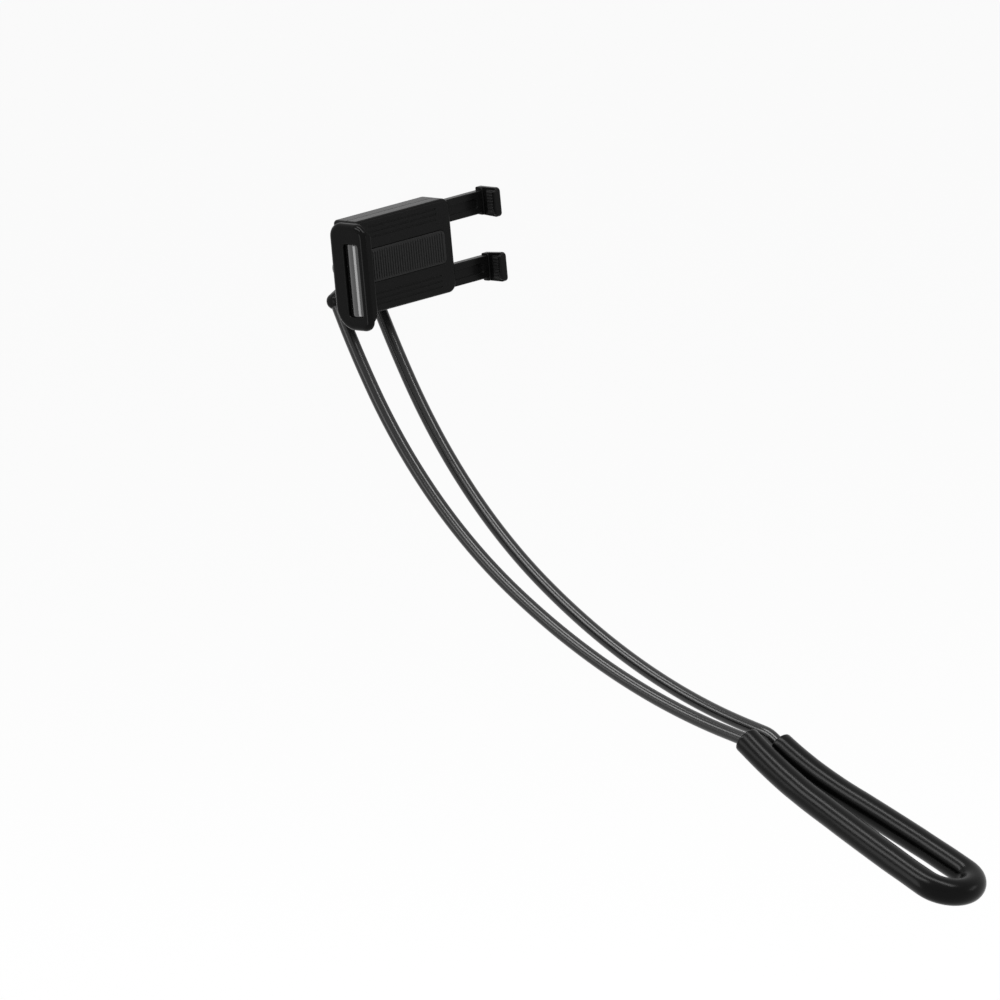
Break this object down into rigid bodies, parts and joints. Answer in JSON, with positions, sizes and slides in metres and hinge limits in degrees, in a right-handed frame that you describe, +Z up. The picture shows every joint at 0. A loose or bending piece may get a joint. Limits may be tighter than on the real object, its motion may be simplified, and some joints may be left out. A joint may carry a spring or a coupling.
{
  "type": "neck phone holder",
  "caption": "Neck-worn phone holder: a foam-padded U-shaped loop, two bendable gooseneck arms, a ball joint with a lock ring and a spring-loaded clamp with a fixed jaw and sliding hooks.",
  "frame": {"origin": "inside the loop of the foam grip, halfway between its two legs, on the plane of symmetry of the arms", "axes": "+Z up, +Y along the arms from the grip towards the clamp, +X along the clamp's slide towards the hooks; the device faces -Y"},
  "size_m": [0.164, 0.6906, 0.5442],
  "materials": {
    "gloss_plastic": "gloss",
    "soft_pad": "matte",
    "rubber_sheath": "satin",
    "foam": "satin",
    "core_metal": "satin",
    "screw_steel": "satin",
    "bright_steel": "polished",
    "liner_plastic": "satin"
  },
  "bodies": {
    "grip": {"foam_grip": "foam", "loop_tube": "rubber_sheath", "loop_core": "core_metal"},
    "lower_arms": {"lower_tube_left": "rubber_sheath", "lower_tube_right": "rubber_sheath", "lower_core_left": "core_metal", "lower_core_right": "core_metal"},
    "upper_arms": {"upper_tube_left": "rubber_sheath", "upper_tube_right": "rubber_sheath", "upper_core_left": "core_metal", "upper_core_right": "core_metal"},
    "neck": {"neck_tube_left": "rubber_sheath", "neck_tube_right": "rubber_sheath", "neck_core_left": "core_metal", "neck_core_right": "core_metal", "ferrule_left": "core_metal", "ferrule_right": "core_metal", "yoke_front": "gloss_plastic", "yoke_rear": "gloss_plastic", "yoke_screws": "screw_steel"},
    "stud": {"ball_stud": "bright_steel"},
    "liner": {"socket_liner": "liner_plastic"},
    "clamp": {"clamp_front_shell": "gloss_plastic", "clamp_rear_cover": "gloss_plastic", "cover_screws": "screw_steel", "rest_pad": "soft_pad", "fixed_jaw": "gloss_plastic", "jaw_screws": "screw_steel", "jaw_trim": "gloss_plastic", "jaw_pad": "soft_pad", "spring_pins": "bright_steel", "spring_upper": "bright_steel", "spring_lower": "bright_steel"},
    "ring": {"lock_ring": "gloss_plastic"},
    "slide": {"carriage": "gloss_plastic", "hook_pad_upper": "soft_pad", "hook_pad_lower": "soft_pad"}
  },
  "joints": [
    {"name": "grip_bend", "type": "hinge", "parent": "grip", "child": "lower_arms", "pos_m": [0, 0.10136, 0.05045], "axis": [1, 0, 0], "range_deg": [-35, 35]},
    {"name": "middle_bend", "type": "hinge", "parent": "lower_arms", "child": "upper_arms", "pos_m": [0, 0.33275, 0.15251], "axis": [1, 0, 0], "range_deg": [-35, 35]},
    {"name": "neck_bend", "type": "hinge", "parent": "upper_arms", "child": "neck", "pos_m": [0, 0.47506, 0.31336], "axis": [1, 0, 0], "range_deg": [-35, 35]},
    {"name": "ball_spin", "type": "hinge", "parent": "neck", "child": "stud", "pos_m": [0, 0.497, 0.42003], "axis": [0, 0.9272, -0.3746], "continuous": true},
    {"name": "ball_tilt", "type": "hinge", "parent": "stud", "child": "liner", "pos_m": [0, 0.497, 0.42003], "axis": [1, 0, 0], "range_deg": [-54, 12]},
    {"name": "ball_pan", "type": "hinge", "parent": "liner", "child": "clamp", "pos_m": [0, 0.497, 0.42003], "axis": [0, 0, 1], "range_deg": [-22, 22]},
    {"name": "ring_turn", "type": "hinge", "parent": "clamp", "child": "ring", "pos_m": [0, 0.497, 0.42003], "axis": [0, 1, 0], "continuous": true},
    {"name": "clamp_slide", "type": "slide", "parent": "clamp", "child": "slide", "axis": [1, 0, 0], "range_m": [-0.04, 0.035], "deforming": ["spring_upper", "spring_lower"]}
  ]
}
